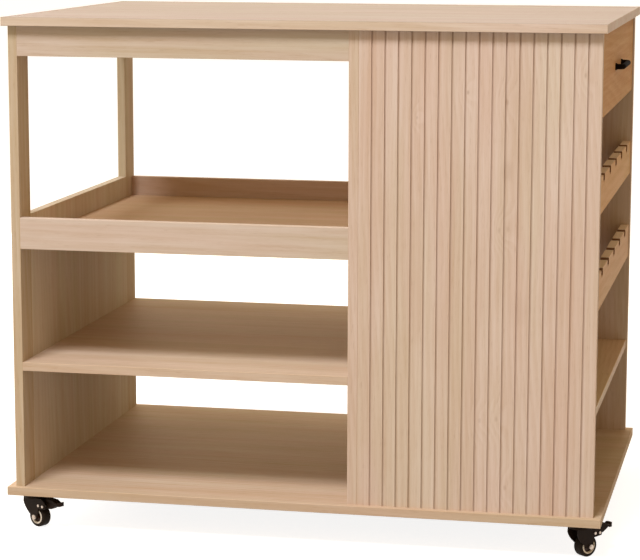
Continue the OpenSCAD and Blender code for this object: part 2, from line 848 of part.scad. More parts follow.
module cam_bolts() {
    l = cam_in + cam_bolt_in;
    color(steel) {
        for (c = left_cams)
            pegs([[c[0] + c[2] * l / 2, c[1], left_shelf_under + shelf_t / 2]], "x",
                cam_bolt_r, l);
        for (c = right_cams)
            pegs([[c[0], c[1] + c[2] * l / 2, right_shelf_under + shelf_t / 2]], "y",
                cam_bolt_r, l);
    }
}

module base_screws() {
    color(steel)
    for (p = base_screws_at) translate([p[0], p[1], caster_h]) base_screw_shape(0);
}

module top_brackets() {
    color(steel)
    difference() {
        for (b = brackets) translate([b[0], b[1], z_top]) mirror([0, b[2] < 0 ? 1 : 0, 0])
            rotate([90, 0, 90]) linear_extrude(bracket_w, center = true)
                polygon([[0, 0], [bracket_l, 0], [bracket_l, -bracket_t],
                    [bracket_t, -bracket_t], [bracket_t, -bracket_l], [0, -bracket_l]]);
        at_bracket_screws(true) translate([0, 0, -1]) cylinder(r = pan_r + fit, h = 4);
        at_bracket_screws(false) translate([0, 0, -1]) cylinder(r = pan_r + fit, h = 4);
    }
}

module pan_head_screws() {
    color(steel) {
        at_bracket_screws(true) pan_screw();
        at_bracket_screws(false) pan_screw();
        at_plate_screws() pan_screw();
        at_slide_screws() {
            cylinder(r = pan_r, h = pan_l - slide_sheet);
            translate([0, 0, -low_head_t]) cylinder(r = low_head_r, h = low_head_t);
        }
    }
}

// Children placed on caster i, with +X along its brake lever and Z = 0 on the floor
module on_caster(i) {
    c = casters[i];
    translate([c[0][0] * caster_x, c[0][1] * caster_y, 0]) rotate([0, 0, c[1]]) children();
}

// A side outline in the caster's own X and Z, w wide across it
module across(w) {
    translate([0, w / 2, 0]) rotate([90, 0, 0]) linear_extrude(w) children();
}

module caster_plates() {
    corner = 4;
    color(black)
    difference() {
        union() {
            for (c = casters) translate([c[0][0] * caster_x, c[0][1] * caster_y, 0]) {
                translate([0, 0, caster_h - plate_t]) linear_extrude(plate_t) {
                    square([plate_w, plate_w - 2 * corner], center = true);
                    square([plate_w - 2 * corner, plate_w], center = true);
                    for (i = [-1, 1]) for (j = [-1, 1])
                        translate([i, j] * (plate_w / 2 - corner)) circle(r = corner);
                }
                translate([0, 0, race_z])
                    cylinder(r1 = race_r, r2 = race_r - 1, h = race_t);
            }
        }
        at_plate_screws() translate([0, 0, -2 * screw_head_t])
            cylinder(r = screw_head_r + fit, h = 2 * screw_head_t);
        at_plate_screws() translate([0, 0, -1]) cylinder(r = pan_r + fit, h = plate_t + 2);
        for (c = casters) translate([c[0][0] * caster_x, c[0][1] * caster_y, race_z - 1])
            cylinder(r = kingpin_r + fit, h = race_t + plate_t + 2);
    }
}

module caster_kingpins() {
    color(steel)
    for (c = casters) translate([c[0][0] * caster_x, c[0][1] * caster_y, 0]) {
        translate([0, 0, crown_z0 - run_gap - kingpin_head_t])
            cylinder(r = kingpin_head_r, h = kingpin_head_t);
        translate([0, 0, crown_z0 - run_gap])
            cylinder(r = kingpin_r, h = caster_h - crown_z0 + run_gap - dowel_end);
    }
}

// A leg's side outline: wide at the crown, drawn in to a round boss at the axle, with an
// ear for the rivets of the brake
module leg_outline() {
    axle = [trail, wheel_r];
    back = -crown_r + 4;
    heel = [back + 9, crown_z0 - 24];
    ear = [stop[0] + 4.5, stop[1] - 5];
    throat = [trail + 9, ear[1] - 2];
    a0 = touch(heel, axle, boss_r, 1);
    a1 = touch(throat, axle, boss_r, -1);
    polygon(concat([[back, crown_z0 + leg_t], [back - 1, crown_z0 - 8],
        [back + 1, crown_z0 - 13], [back + 4, crown_z0 - 18], heel],
        arc(axle, boss_r, a0, a1 + 360, 12),
        [throat, ear, [ear[0] + 1, ear[1] + 2], [ear[0] + 1, crown_z0 - 6],
        [ear[0] - 2, crown_z0 - 2], [ear[0] - 8, crown_z0 + leg_t]]));
}

// The fork: a round crown on the kingpin, a tongue over the brake and two legs down to
// the axle
module caster_fork(i) {
    tongue = pivot[0] + 4;
    color(black)
    on_caster(i)
    difference() {
        union() {
            translate([0, 0, crown_z0]) cylinder(r = crown_r, h = crown_t);
            translate([0, -leg_y - leg_t, crown_z0]) cube([tongue, 2 * (leg_y + leg_t), leg_t]);
            for (s = [-1, 1]) translate([0, s * (leg_y + leg_t / 2), 0])
                across(leg_t) leg_outline();
        }
        translate([0, 0, crown_z0 - 1]) cylinder(r = kingpin_r + turn_fit, h = crown_t + 2);
        translate([trail, 0, wheel_r]) rotate([90, 0, 0])
            cylinder(r = axle_r + fit, h = 4 * leg_y, center = true);
        for (p = [pivot, stop]) translate([p[0], 0, p[1]]) rotate([90, 0, 0])
            cylinder(r = pin_r + fit, h = 4 * leg_y, center = true);
    }
}

// The axle with its nut, and the two rivets of the brake
module caster_pins(i) {
    outer = leg_y + leg_t;
    color(steel)
    on_caster(i) {
        translate([trail, 0, wheel_r]) rotate([90, 0, 0]) {
            cylinder(r = axle_r, h = 2 * (outer + nut_t), center = true);
            translate([0, 0, outer]) cylinder(r = nut_r, h = nut_t - 1);
            translate([0, 0, -outer - nut_t + 1]) cylinder(r = nut_r, h = nut_t - 1, $fn = 6);
        }
        for (p = [pivot, stop]) translate([p[0], 0, p[1]]) rotate([90, 0, 0]) {
            cylinder(r = pin_r, h = 2 * outer, center = true);
            for (s = [-1, 1]) translate([0, 0, s * (outer + pin_head_t / 2)])
                cylinder(r = pin_head_r, h = pin_head_t, center = true);
        }
    }
}

// Turned section of the tyre: a crowned tread with rounded shoulders
module caster_tyre(i) {
    shoulder = 3;
    half = wheel_w / 2;
    color(black)
    on_caster(i) translate([trail, 0, wheel_r]) rotate([90, 0, 0])
        rotate_extrude()
            polygon(concat([[tyre_in, -half], [wheel_r - shoulder, -half]],
                arc([wheel_r - shoulder, shoulder - half], shoulder, -90, 0, 5),
                arc([wheel_r - shoulder, half - shoulder], shoulder, 0, 90, 5),
                [[tyre_in, half]]));
}

// The hub: a rim that shows as a pale ring, a thin web and a boss on the axle
module caster_hub(i) {
    half = wheel_w / 2;
    color(beige)
    on_caster(i) translate([trail, 0, wheel_r]) rotate([90, 0, 0])
        rotate_extrude()
            polygon([
                [axle_r + turn_fit, -hub_boss_y], [hub_boss_r, -hub_boss_y],
                [hub_boss_r, -hub_web], [hub_r - hub_lip - hub_draft, -hub_web],
                [hub_r - hub_lip, -half - lip_side], [hub_r - lip_side, -half - lip_side],
                [hub_r, -half], [hub_r, half],
                [hub_r - lip_side, half + lip_side], [hub_r - hub_lip, half + lip_side],
                [hub_r - hub_lip - hub_draft, hub_web], [hub_boss_r, hub_web],
                [hub_boss_r, hub_boss_y], [axle_r + turn_fit, hub_boss_y]]);
}

// The lever's deep middle, with the pad that stands over the tread
module lever_core_outline() {
    pad_a0 = 62;
    pad_a1 = 44;
    polygon(concat(
        arc(pivot, lever_r, 95, 230, 6),
        arc([trail, wheel_r], pad_r, pad_a0, pad_a1, 4),
        [stop + [4, -5], [lever_reach - 24, stop[1] - 3.5], [lever_reach - 12, stop[1] + 4],
        [lever_reach - 14, stop[1] + 9.5], [lever_reach - 20, stop[1] + 13.5],
        [stop[0] + 3, stop[1] + 14.5], [stop[0] - 3.5, crown_z0 - 1.5],
        [crown_r + 1, crown_z0 - 1.5]]));
}

// The pedal: a wide sloped plate with a raised lip at its end
module pedal_outline() {
    lip_r = 2;
    polygon(concat(
        [[stop[0] + 3, stop[1] + 10], [stop[0] + 3, stop[1] + 14.5],
        [lever_reach - 20, stop[1] + 13.5], [lever_reach - 13, stop[1] + 9.5],
        [lever_reach - 8, stop[1] + 9], [lever_reach - 5, stop[1] + 11.5]],
        arc([lever_reach - lip_r, stop[1] + 9.8], lip_r, 90, 0, 4),
        [[lever_reach, stop[1] + 6], [lever_reach - 2, stop[1] + 4.2],
        [lever_reach - 10, stop[1] + 4], [lever_reach - 20, stop[1] + 9]]));
}

// The brake lever: a boss on its pivot, the deep middle and the pedal
module caster_brake(i) {
    end_r = lever_w / 2;
    color(black)
    on_caster(i)
    difference() {
        union() {
            across(lever_core_w) lever_core_outline();
            across(2 * (leg_y - run_gap)) translate(pivot) circle(r = lever_r);
            intersection() {
                across(lever_w) pedal_outline();
                linear_extrude(2 * caster_h) {
                    translate([0, -end_r]) square([lever_reach - end_r, lever_w]);
                    translate([lever_reach - end_r, 0]) circle(r = end_r);
                }
            }
        }
        translate([pivot[0], 0, pivot[1]]) rotate([90, 0, 0])
            cylinder(r = pin_r + turn_fit, h = 3 * lever_w, center = true);
        stop_slot();
    }
}

// The slot in the lever that runs along the stop rivet as the lever turns
module stop_slot() {
    slot_r = pin_r + 0.35;
    r = stop - pivot;
    end = pivot + [r[0] * cos(lever_turn) - r[1] * sin(lever_turn),
        r[0] * sin(lever_turn) + r[1] * cos(lever_turn)];
    across(2 * lever_w) {
        translate(stop) circle(r = slot_r);
        translate(end) circle(r = slot_r);
        translate(stop) rotate(atan2(end[1] - stop[1], end[0] - stop[0]))
            translate([0, -slot_r]) square([norm(end - stop), 2 * slot_r]);
    }
}

worktop();
base_board();
end_post(y_f, y_f + post_w);  // left_front_post
end_post(y_b - post_w, y_b);  // left_rear_post
left_side_panel();
left_top_rail();
apron(y_f, y_f + rail_t);  // front_apron
apron(y_b - rail_t, y_b);  // rear_apron
tray_rail(y_f, y_f + rail_t, tray_rail_h);  // tray_front_rail
tray_rail(y_b - rail_t, y_b, tray_rail_h - tray_rear_drop);  // tray_rear_rail
tray_floor();
left_shelf();
divider_panel();
fluted_front_panel();
rear_panel();
right_shelf();
rack_outer(upper_rack_z);  // upper_rack_outer
rack_inner(upper_rack_z);  // upper_rack_inner
rack_outer(lower_rack_z);  // lower_rack_outer
rack_inner(lower_rack_z);  // lower_rack_inner
drawer_front();
drawer_side(box_y0, 1);  // drawer_front_side
drawer_side(box_y1 - drawer_side_t, -1);  // drawer_rear_side
drawer_back();
drawer_bottom();
drawer_handle();
drawer_handle_screws();
slide_cabinet_members();
slide_drawer_members();
slide_ball_cages();
slide_balls();
slide_drawer_screws();
dowels();
cam_locks();
cam_bolts();
base_screws();
top_brackets();
pan_head_screws();
caster_plates();
caster_kingpins();
caster_fork(0);  // front_left_fork
caster_pins(0);  // front_left_pins
caster_tyre(0);  // front_left_tyre
caster_hub(0);  // front_left_hub
caster_brake(0);  // front_left_brake
caster_fork(1);  // front_right_fork
caster_pins(1);  // front_right_pins
caster_tyre(1);  // front_right_tyre
caster_hub(1);  // front_right_hub
caster_brake(1);  // front_right_brake
caster_fork(2);  // rear_left_fork
caster_pins(2);  // rear_left_pins
caster_tyre(2);  // rear_left_tyre
caster_hub(2);  // rear_left_hub
caster_brake(2);  // rear_left_brake
caster_fork(3);  // rear_right_fork
caster_pins(3);  // rear_right_pins
caster_tyre(3);  // rear_right_tyre
caster_hub(3);  // rear_right_hub
caster_brake(3);  // rear_right_brake
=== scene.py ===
import functools
import math
from collections import namedtuple

import bpy
from mathutils import Matrix, Vector


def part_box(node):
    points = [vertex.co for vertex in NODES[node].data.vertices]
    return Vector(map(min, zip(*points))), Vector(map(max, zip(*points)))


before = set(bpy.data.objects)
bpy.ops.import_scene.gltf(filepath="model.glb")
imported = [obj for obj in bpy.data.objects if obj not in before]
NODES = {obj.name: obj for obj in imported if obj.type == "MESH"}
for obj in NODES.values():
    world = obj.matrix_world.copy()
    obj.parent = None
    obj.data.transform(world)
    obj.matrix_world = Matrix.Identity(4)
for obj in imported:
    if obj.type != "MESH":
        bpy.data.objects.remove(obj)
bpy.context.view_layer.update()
SCENE = bpy.context.scene

# The kitchen cart's looks. Every node of the CAD model keeps its shape and gets a procedural
# material. Colours are linear values, and lengths are in metres.

# The wood's own colours, and after them colours painted in for light and shade
PALE = (0.672, 0.556, 0.50)
DEEP = (0.49, 0.325, 0.205)
KNOT = (0.26, 0.135, 0.065)
GREY = (0.60, 0.48, 0.38)
# Painted shade on the notches' walls, and painted light on the teeth's tops between them
PAINTED_NOTCH_SHADE = (0.15, 0.060, 0.022)
PAINTED_TOOTH_LIGHT = (0.82, 0.66, 0.53)
# Near boards' edges: partly wear, partly a painted highlight on the edges
EDGE_WEAR_AND_HIGHLIGHT = (0.78, 0.60, 0.45)

# Tints that multiply the wood's colour: two for patches in a board, the others for whole boards.
# Some whole-board tints are painted shade, as marked below
PINK = (1.0, 0.966, 0.961)
MOSS = (0.972, 1.0, 0.952)
# Painted warm shade, for boards inside the cart
PAINTED_WARM_SHADE = (1.0, 0.815, 0.52)
# Painted shade, which darkens the worktop's broad faces against its edges
PAINTED_TOP_SHADE = (0.64, 0.635, 0.655)
OLIVE = (0.93, 1.0, 0.93)
# Painted warm shade, deeper, for the boards at the cart's shaded right end
PAINTED_RUSSET_SHADE = (1.0, 0.74, 0.42)
SAND = (0.935, 0.92, 0.845)
BEIGE = (0.945, 0.99, 1.0)
WHITE = (1.0, 1.0, 1.0)
OPAQUE = (1.0,)

# The share, first colour, second colour and result of a colour Mix node, by their places
MIX_SHARE, MIX_FIRST, MIX_SECOND, MIX_RESULT = 0, 6, 7, 2


class Tree:
    """Shorthand for building a node tree. A value may be a number, a tuple or a node's output."""

    def __init__(self, tree):
        self.tree = tree

    def node(self, kind, **settings):
        made = self.tree.nodes.new(kind)
        for key, value in settings.items():
            setattr(made, key, value)
        return made

    def plug(self, value, socket):
        if isinstance(value, (int, float, tuple)):
            socket.default_value = value
        else:
            self.tree.links.new(value, socket)

    def fill(self, made, values):
        """The node's first output, once the values are plugged into its first inputs."""
        for value, socket in zip(values, made.inputs):
            self.plug(value, socket)
        return made.outputs[0]

    def math(self, operation, *values):
        return self.fill(self.node("ShaderNodeMath", operation=operation), values)

    def add(self, a, b):
        return self.math("ADD", a, b)

    def sub(self, a, b):
        return self.math("SUBTRACT", a, b)

    def mul(self, a, b):
        return self.math("MULTIPLY", a, b)

    def fold(self, operation, values):
        """One value from a list, such as its sum."""
        return functools.reduce(lambda a, b: self.math(operation, a, b), values)

    def hypot(self, a, b):
        squares = (self.math("POWER", a, 2.0), self.math("POWER", b, 2.0))
        return self.math("SQRT", self.add(*squares))

    def vec(self, operation, a, b=None, scale=None):
        made = self.node("ShaderNodeVectorMath", operation=operation)
        self.plug(a, made.inputs[0])
        if b is not None:
            self.plug(b, made.inputs[1])
        if scale is not None:
            self.plug(scale, made.inputs["Scale"])
        return made.outputs["Value" if operation == "LENGTH" else "Vector"]

    def combine(self, *values):
        return self.fill(self.node("ShaderNodeCombineXYZ"), values)

    def separate(self, vector):
        made = self.node("ShaderNodeSeparateXYZ")
        self.plug(vector, made.inputs[0])
        return made.outputs

    def noise(self, vector, scale, detail, rough, distort=0.0, output="Fac"):
        made = self.node("ShaderNodeTexNoise")
        for name, value in (("Vector", vector), ("Scale", scale), ("Detail", detail),
                            ("Roughness", rough), ("Distortion", distort)):
            self.plug(value, made.inputs[name])
        return made.outputs[output]

    def squeeze(self, point, along):
        """The point, squeezed along the grain, so that a pattern there is drawn out."""
        return self.vec("MULTIPLY", point, (1.0, 1.0, along))

    def layer(self, point, noise, output="Fac"):
        """A Noise of the grain at the point."""
        return self.noise(self.squeeze(point, noise.squeeze), *noise[1:], output=output)

    def span(self, value, start, end, low=0.0, high=1.0, smooth=False):
        """From low to high, as the value goes from start to end."""
        made = self.node("ShaderNodeMapRange", clamp=True,
                         interpolation_type="SMOOTHSTEP" if smooth else "LINEAR")
        for name, number in (("Value", value), ("From Min", start), ("From Max", end),
                             ("To Min", low), ("To Max", high)):
            self.plug(number, made.inputs[name])
        return made.outputs["Result"]

    def mix(self, share, first, second, blend="MIX"):
        made = self.node("ShaderNodeMix", data_type="RGBA", blend_type=blend)
        self.plug(share, made.inputs[MIX_SHARE])
        for color, place in ((first, MIX_FIRST), (second, MIX_SECOND)):
            self.plug(color + OPAQUE if isinstance(color, tuple) else color, made.inputs[place])
        return made.outputs[MIX_RESULT]

    def tinted(self, share, color, tint):
        """The colour, gone over to its product with the tint by the share."""
        return self.mix(share, color, self.mix(1.0, color, tint, "MULTIPLY"))

    def bump(self, height, strength, distance):
        made = self.node("ShaderNodeBump")
        made.inputs["Strength"].default_value = strength
        made.inputs["Distance"].default_value = distance
        self.plug(height, made.inputs["Height"])
        return made.outputs["Normal"]

    def seen(self):
        """1 for what the camera sees, also in a gloss or through glass, and 0 for light."""
        path = self.node("ShaderNodeLightPath").outputs
        return self.math("MAXIMUM", path["Is Camera Ray"],
                         self.math("MAXIMUM", path["Is Glossy Ray"], path["Is Transmission Ray"]))


def new_material(name):
    """A material, its tree and its shader."""
    made = bpy.data.materials.new(name)
    made.use_nodes = True
    return made, Tree(made.node_tree), made.node_tree.nodes["Principled BSDF"]


# Noises of the grain, each squeezed along it. Each of LAYERS darkens the wood by its weight
Noise = namedtuple("Noise", "squeeze scale detail rough distort", defaults=(0.0,))
LAYERS = {
    "broad": (Noise(0.05, 21.0, 3.0, 0.55), 0.9),
    "streak": (Noise(0.018, 150.0, 3.0, 0.6), 0.75),
    "fibre": (Noise(0.02, 620.0, 2.0, 0.6), 0.55),
    "cloud": (Noise(0.4, 5.5, 2.0, 0.5), 0.55),
    "figure": (Noise(0.30, 34.0, 3.0, 0.6, 0.6), 0.35),
}
PORES = Noise(0.045, 1050.0, 1.0, 0.5)
PATCHES = Noise(0.10, 16.0, 2.0, 0.5)
SWAY = Noise(0.22, 5.0, 1.5, 0.5)
NOISE_MEAN = 0.5

# How far a seed of 1 moves the pattern, so that no two boards show the same piece of it
SEED_STEP = (3.7, 1.9, 5.3)

# The year rings: how far they sway, where the trunk's axis lies beside the pattern's, and where
# in a ring the early wood rises and falls
SWAY_REACH = 0.085
TRUNK_SLOPE, TRUNK_OFFSET = 0.035, 0.06
RINGS_PER_METRE, RINGS_ROUND_KNOT = 95.0, 1.6
EARLY_RISE, EARLY_FALL, EARLY_WEIGHT = (0.0, 0.72), (1.0, 0.80), 0.16

# Where each feature starts and is full, and how much of the colour it takes. Pores are fewer
# outside the early wood
TONE_RANGE = (-0.28, 1.05)
CLOUD_RANGE, CLOUD_COVER = (0.52, 0.72), 0.22
PORE_RANGE, PORE_COVER = (0.60, 0.72), 0.22
PORE_BY_RING = (0.1, 0.9, 0.25, 1.0)
PINK_RANGE, MOSS_RANGE = (0.50, 0.66), (0.50, 0.34)
# The pale line along boards' edges, partly wear and partly a painted highlight: its width, share
# and default distance
EDGE_WIDTH, EDGE_COVER, FAR_FROM_EDGE = 0.0012, 0.30, 1.0

# Small knots: cells of the wood, of which few hold one
CELL_SQUEEZE, CELL_SCALE, CELL_KNOT = 0.55, 4.2, 0.055
CELL_CHOSEN, KNOT_COVER = (0.62, 0.66), 0.75

# The roughness and height that streaks, fibres and pores give
ROUGH, ROUGH_STREAK, ROUGH_PORE = 0.52, 0.16, 0.12
HEIGHT_FIBRE, HEIGHT_STREAK, HEIGHT_PORE = 0.5, 0.35, 0.8


def year_rings(t, point, bend):
    """The early wood in the rings of a trunk, cut lengthwise by the board."""
    sway = t.vec("SUBTRACT", t.layer(point, SWAY, "Color"), (NOISE_MEAN,) * 3)
    x, y, z = t.separate(t.vec("ADD", point, t.vec("SCALE", sway, scale=SWAY_REACH)))
    radius = t.hypot(t.add(x, t.mul(z, TRUNK_SLOPE)), t.add(y, TRUNK_OFFSET))
    ring = t.math("FRACT", t.add(t.mul(radius, RINGS_PER_METRE), t.mul(bend, RINGS_ROUND_KNOT)))
    return t.mul(t.span(ring, *EARLY_RISE, smooth=True), t.span(ring, *EARLY_FALL, smooth=True))


def scattered_knots(t, point):
    """Small knots, far apart."""
    cell = t.node("ShaderNodeTexVoronoi", feature="F1")
    t.plug(t.squeeze(point, CELL_SQUEEZE), cell.inputs["Vector"])
    t.plug(CELL_SCALE, cell.inputs["Scale"])
    chosen = t.span(t.separate(cell.outputs["Color"])["X"], *CELL_CHOSEN)
    return t.mul(t.span(cell.outputs["Distance"], CELL_KNOT, 0.0, smooth=True), chosen)


def wood_group():
    """One shared group: the wood's colour, roughness and height at a point of a board, whose
    grain runs along the point's Z."""
    group = bpy.data.node_groups.new("wood_grain", "ShaderNodeTree")
    group.interface.new_socket("Point", in_out="INPUT", socket_type="NodeSocketVector")
    for name, value in (("Seed", 0.0), ("Tone", 0.0), ("Edge", FAR_FROM_EDGE), ("Knot", 0.0),
                        ("Bend", 0.0)):
        socket = group.interface.new_socket(name, in_out="INPUT", socket_type="NodeSocketFloat")
        socket.default_value = value
    for name, kind in (("Color", "NodeSocketColor"), ("Roughness", "NodeSocketFloat"),
                       ("Height", "NodeSocketFloat")):
        group.interface.new_socket(name, in_out="OUTPUT", socket_type=kind)
    t = Tree(group)
    given = t.node("NodeGroupInput").outputs
    out = t.node("NodeGroupOutput").inputs
    shift = t.combine(*(t.mul(given["Seed"], step) for step in SEED_STEP))
    point = t.vec("ADD", given["Point"], shift)
    early = year_rings(t, point, given["Bend"])
    pore = t.mul(t.span(t.layer(point, PORES), *PORE_RANGE), t.span(early, *PORE_BY_RING))
    dark = t.mul(early, EARLY_WEIGHT)
    at = {}
    for name, (noise, weight) in LAYERS.items():
        at[name] = t.layer(point, noise)
        dark = t.add(dark, t.mul(t.sub(at[name], NOISE_MEAN), weight))
    dark = t.add(dark, given["Tone"])
    color = t.mix(t.span(dark, *TONE_RANGE), PALE, DEEP)
    color = t.mix(t.mul(t.span(at["cloud"], *CLOUD_RANGE), CLOUD_COVER), color, GREY)
    color = t.mix(t.mul(pore, PORE_COVER), color, KNOT)
    patch = t.layer(point, PATCHES)
    color = t.tinted(t.span(patch, *PINK_RANGE), color, PINK)
    color = t.tinted(t.span(patch, *MOSS_RANGE), color, MOSS)
    knot = t.math("MAXIMUM", scattered_knots(t, point), given["Knot"])
    color = t.mix(t.mul(knot, KNOT_COVER), color, KNOT)
    # Near an edge the colour goes pale, partly wear and partly a painted highlight
    edge_wear_and_highlight = t.span(given["Edge"], EDGE_WIDTH, 0.0, 0.0, EDGE_COVER)
    t.plug(t.mix(edge_wear_and_highlight, color, EDGE_WEAR_AND_HIGHLIGHT), out["Color"])
    rough = t.add(t.mul(at["streak"], ROUGH_STREAK), t.mul(pore, ROUGH_PORE))
    t.plug(t.add(rough, ROUGH), out["Roughness"])
    height = t.sub(t.mul(at["fibre"], HEIGHT_FIBRE), t.mul(pore, HEIGHT_PORE))
    t.plug(t.add(height, t.mul(at["streak"], HEIGHT_STREAK)), out["Height"])
    return group


WOOD = wood_group()

# The axes across, through and along the grain, by the axis that the grain runs along
GRAIN_ORDER = {"x": (1, 2, 0), "y": (0, 2, 1), "z": (0, 1, 2)}

# A board: its grain's axis, a seed, how dark it is, and how far it leans to which tint. Unless
# another is given, the tint is the painted warm shade
Board = namedtuple("Board", "grain seed tone lean tint", defaults=(0.0, PAINTED_WARM_SHADE))

# A knot at a set place. Its core and the halo in which the rings bend are shares of its radius
Knot = namedtuple("Knot", "across along radius depth")
KNOT_SQUEEZE, KNOT_CORE, KNOT_HALO = 0.55, 0.2, 7.0

# Which surfaces of a board that takes its painted shade tint on its faces only are its faces and
# not its edges
SHADED_FACE_FACING = (0.4, 0.7)

# Painted shade in the grooves, by the depth under the board's front face
GROOVE_START, GROOVE_END, GROOVE_SHADE_COVER = (0.0004, 0.0014), (0.0035, 0.003), 0.27

# Notches: the board's ends that aren't walls, the walls' lower end, the share of painted shade on
# the walls and painted light on the tops, and which surfaces count as walls and tops
NOTCH_ENDS, NOTCH_FADE, NOTCH_SHADE_AND_LIGHT_COVER = (0.004, 0.005), 0.003, 0.85
WALL_FACING, TOP_FACING, TOP_REACH = (0.45, 0.75), (0.7, 0.9), (0.003, 0.001)

WOOD_GLOSS, WOOD_BUMP, WOOD_RELIEF = 0.04, 0.22, 0.0004


def from_sides(t, xyz, box):
    """The distances from the nearer side of the box, for each axis."""
    return [t.math("ABSOLUTE", t.math("MINIMUM", t.sub(xyz[i], lo), t.sub(hi, xyz[i])))
            for i, (lo, hi) in enumerate(zip(*box))]


def from_edge(t, sides):
    """The middle one of three distances from sides, which tells how near an edge is."""
    x, y, z = sides
    least = t.math("MINIMUM", x, t.math("MINIMUM", y, z))
    most = t.math("MAXIMUM", x, t.math("MAXIMUM", y, z))
    return t.sub(t.sub(t.add(x, t.add(y, z)), least), most)


def set_knots(t, across, along, knots):
    """The knots' marks, and how far the rings bend round them."""
    marks, halos = [], []
    for knot in knots:
        reach = t.hypot(t.sub(across, knot.across), t.mul(t.sub(along, knot.along), KNOT_SQUEEZE))
        mark = t.span(reach, knot.radius, knot.radius * KNOT_CORE, smooth=True)
        marks.append(t.mul(mark, knot.depth))
        halos.append(t.span(reach, knot.radius * KNOT_HALO, 0.0, smooth=True))
    return t.fold("MAXIMUM", marks), t.fold("ADD", halos)


def notched(t, color, xyz, facing, sides, bottom):
    """Painted shade on the notches' walls above their bottom, and painted light on the board's
    top.
    """
    inside = t.math("MINIMUM", t.span(sides[1], *NOTCH_ENDS),
                    t.span(xyz["Z"], bottom, bottom + NOTCH_FADE))
    wall_shade = t.mul(t.span(t.math("ABSOLUTE", facing["Y"]), *WALL_FACING), inside)
    color = t.mix(t.mul(wall_shade, NOTCH_SHADE_AND_LIGHT_COVER), color, PAINTED_NOTCH_SHADE)
    top = t.mul(t.span(facing["Z"], *TOP_FACING), t.span(sides[2], *TOP_REACH))
    return t.mix(t.mul(top, NOTCH_SHADE_AND_LIGHT_COVER), color, PAINTED_TOOTH_LIGHT)


def wood(name, board, box=None, gloss=WOOD_GLOSS, shade_faces_only=False, knots=(), fluted=False,
         notch=None):
    """A board's material. box is the board's own, for its edges. A board may take its painted
    shade tint on its broad faces only, so that its edges keep the wood's own colour; a fluted one
    has painted shade in its grooves, and notch is the height of a notched board's notch bottoms."""
    made, t, shader = new_material(name)
    coords = t.node("ShaderNodeTexCoord").outputs
    xyz, facing = t.separate(coords["Object"]), t.separate(coords["Normal"])
    across, through, along = (xyz[i] for i in GRAIN_ORDER[board.grain])
    grain = t.node("ShaderNodeGroup", node_tree=WOOD)
    t.plug(t.combine(across, through, along), grain.inputs["Point"])
    t.plug(board.seed, grain.inputs["Seed"])
    t.plug(board.tone, grain.inputs["Tone"])
    if box:
        sides = from_sides(t, xyz, box)
        t.plug(from_edge(t, sides), grain.inputs["Edge"])
    if knots:
        marks, halos = set_knots(t, across, along, knots)
        t.plug(marks, grain.inputs["Knot"])
        t.plug(halos, grain.inputs["Bend"])
    color = grain.outputs["Color"]
    # The board's tint: painted shade for most boards, a tone of the whole board for some
    if board.lean:
        lean = board.lean
        # The painted shade tint, on the broad faces only where so asked
        if shade_faces_only:
            lean = t.mul(t.span(t.math("ABSOLUTE", facing["Z"]), *SHADED_FACE_FACING), lean)
        color = t.tinted(lean, color, board.tint)
    # Painted shade in the fluted panel's grooves
    if fluted:
        depth = t.sub(xyz["Y"], box[0][1])
        groove_shade = t.mul(t.span(depth, *GROOVE_START), t.span(depth, *GROOVE_END))
        color = t.mix(t.mul(groove_shade, GROOVE_SHADE_COVER), color, KNOT)
    # Painted shade on the notches' walls and painted light on the teeth's tops
    if notch:
        color = notched(t, color, xyz, facing, sides, notch)
    t.plug(color, shader.inputs["Base Color"])
    t.plug(grain.outputs["Roughness"], shader.inputs["Roughness"])
    shader.inputs["Specular IOR Level"].default_value = gloss
    t.plug(t.bump(grain.outputs["Height"], WOOD_BUMP, WOOD_RELIEF), shader.inputs["Normal"])
    return made


# Wear on metals and coats: soft patches and finer specks, detail and roughness of each, the
# range of their mean over which a dull colour turns to the full one, and the specks' relief
SOFT_WEAR, FINE_WEAR, FINE_TIMES = (3.0, 0.55), (3.0, 0.6), 14
WEAR_RANGE, DULL, WEAR_RELIEF = (0.34, 0.66), 0.62, 0.0001


def metal(name, color, rough, metallic=1.0, uneven=0.12, scale=90.0, bump=0.2, gloss=0.5):
    """A metal, coat or moulding, with fine wear in its colour and roughness. uneven is how far
    the roughness varies either way, and scale is the wear's."""
    made, t, shader = new_material(name)
    point = t.node("ShaderNodeTexCoord").outputs["Object"]
    fine = t.noise(point, scale * FINE_TIMES, *FINE_WEAR)
    soft = t.noise(point, scale, *SOFT_WEAR)
    mean = t.add(t.mul(fine, 0.5), t.mul(soft, 0.5))
    dull = tuple(c * DULL for c in color)
    t.plug(t.mix(t.span(mean, *WEAR_RANGE), dull, color), shader.inputs["Base Color"])
    t.plug(t.add(t.mul(soft, uneven * 2), rough - uneven), shader.inputs["Roughness"])
    shader.inputs["Metallic"].default_value = metallic
    shader.inputs["Specular IOR Level"].default_value = gloss
    t.plug(t.bump(fine, bump, WEAR_RELIEF), shader.inputs["Normal"])
    return made


# A hub's recess ends at one distance from its centre, and its rim starts at the next
HUB_RECESS, HUB_RIM = 0.0122, 0.0130
# The hub's nylon, and the dark of its recess: partly its dark bearing cover, partly painted shade
HUB_NYLON, HUB_CAP_AND_SHADE = (0.95, 0.86, 0.74), (0.046, 0.016, 0.007)


